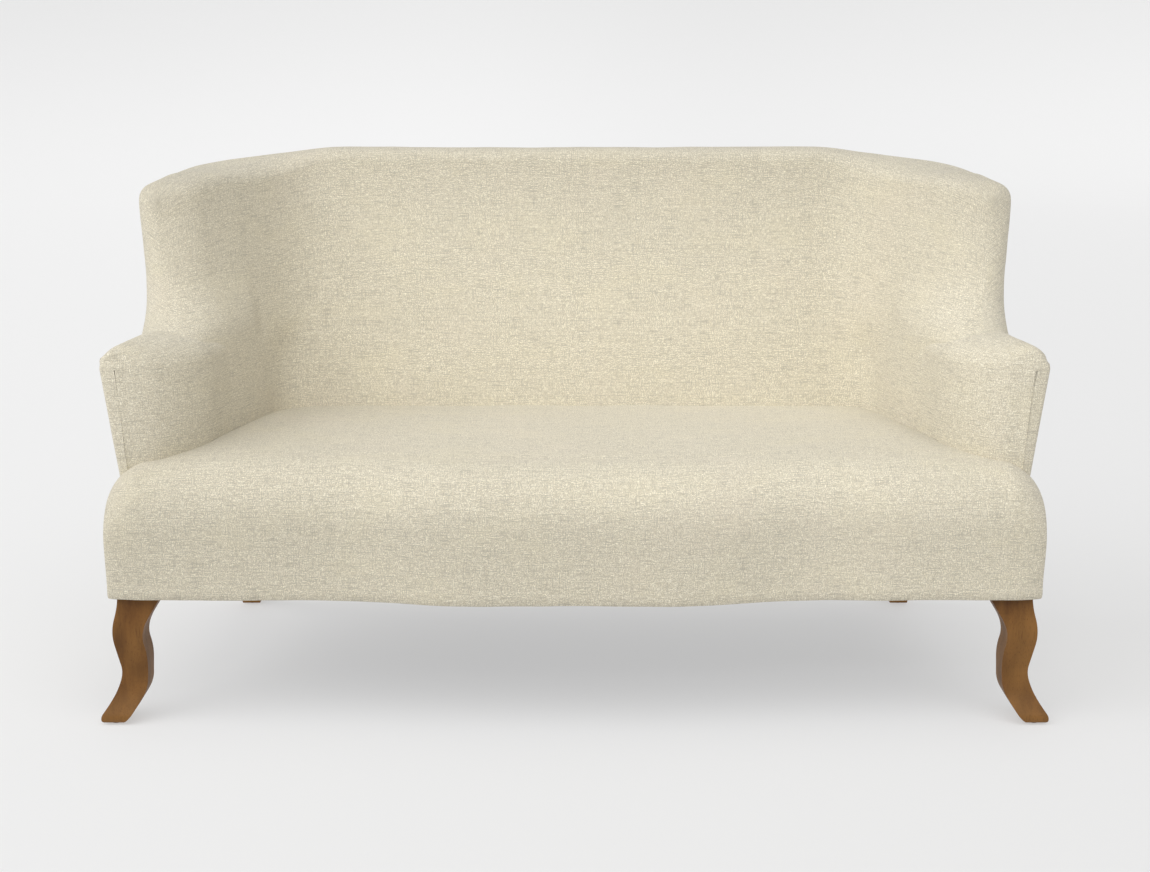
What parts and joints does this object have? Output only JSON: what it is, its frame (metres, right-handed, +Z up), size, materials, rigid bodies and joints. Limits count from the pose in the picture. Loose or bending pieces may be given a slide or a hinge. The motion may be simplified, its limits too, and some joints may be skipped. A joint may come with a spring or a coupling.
{
  "type": "high back settee",
  "caption": "High back settee with wings, low arms, a tight seat with a serpentine rolled front, light linen-look cover and square cabriole front legs.",
  "frame": {"origin": "centre of the footprint, on the floor under the legs", "axes": "+X to the right seen from the front, front towards -Y, +Z up"},
  "size_m": [1.6312, 0.761, 0.95],
  "materials": {
    "upholstery_fabric": "matt linen-look plain weave",
    "foam": "open-cell upholstery foam",
    "frame_wood": "planed beech, unfinished",
    "leg_wood": "satin stained wood",
    "webbing": "woven elastic webbing",
    "spring_steel": "drawn wire",
    "bolt_steel": "zinc plated",
    "hessian": "open jute weave",
    "dust_cloth": "spun-bonded cloth",
    "glide_plastic": "matt moulded"
  },
  "bodies": {
    "root": {"arm_cover_left": "upholstery_fabric", "arm_cover_right": "upholstery_fabric", "arm_foam_left": "foam", "arm_foam_right": "foam", "arm_post_left": "frame_wood", "arm_post_right": "frame_wood", "arm_rail_left": "frame_wood", "arm_rail_right": "frame_wood", "back_cover": "upholstery_fabric", "back_foam": "foam", "back_middle_foot": "frame_wood", "back_middle_post": "frame_wood", "back_post_left": "frame_wood", "back_post_right": "frame_wood", "back_stay_rail": "frame_wood", "back_webbing": "webbing", "corner_blocks": "frame_wood", "crest_rail": "frame_wood", "dust_cover": "dust_cloth", "floor_glides": "glide_plastic", "front_leg_left": "leg_wood", "front_leg_right": "leg_wood", "front_rail": "frame_wood", "leg_bolts": "bolt_steel", "leg_inserts": "bolt_steel", "outside_arm_left": "upholstery_fabric", "outside_arm_right": "upholstery_fabric", "outside_back": "upholstery_fabric", "outside_wing_left": "upholstery_fabric", "outside_wing_right": "upholstery_fabric", "rear_leg_left": "leg_wood", "rear_leg_right": "leg_wood", "rear_rail": "frame_wood", "seat_cover": "upholstery_fabric", "seat_cross_rail": "frame_wood", "seat_foam": "foam", "seat_hessian": "hessian", "seat_springs": "spring_steel", "side_rail_left": "frame_wood", "side_rail_right": "frame_wood", "spring_clips": "spring_steel", "wing_cover_left": "upholstery_fabric", "wing_cover_right": "upholstery_fabric", "wing_foam_left": "foam", "wing_foam_right": "foam", "wing_post_left": "frame_wood", "wing_post_right": "frame_wood", "wing_rail_left": "frame_wood", "wing_rail_right": "frame_wood"}
  },
  "joints": []
}
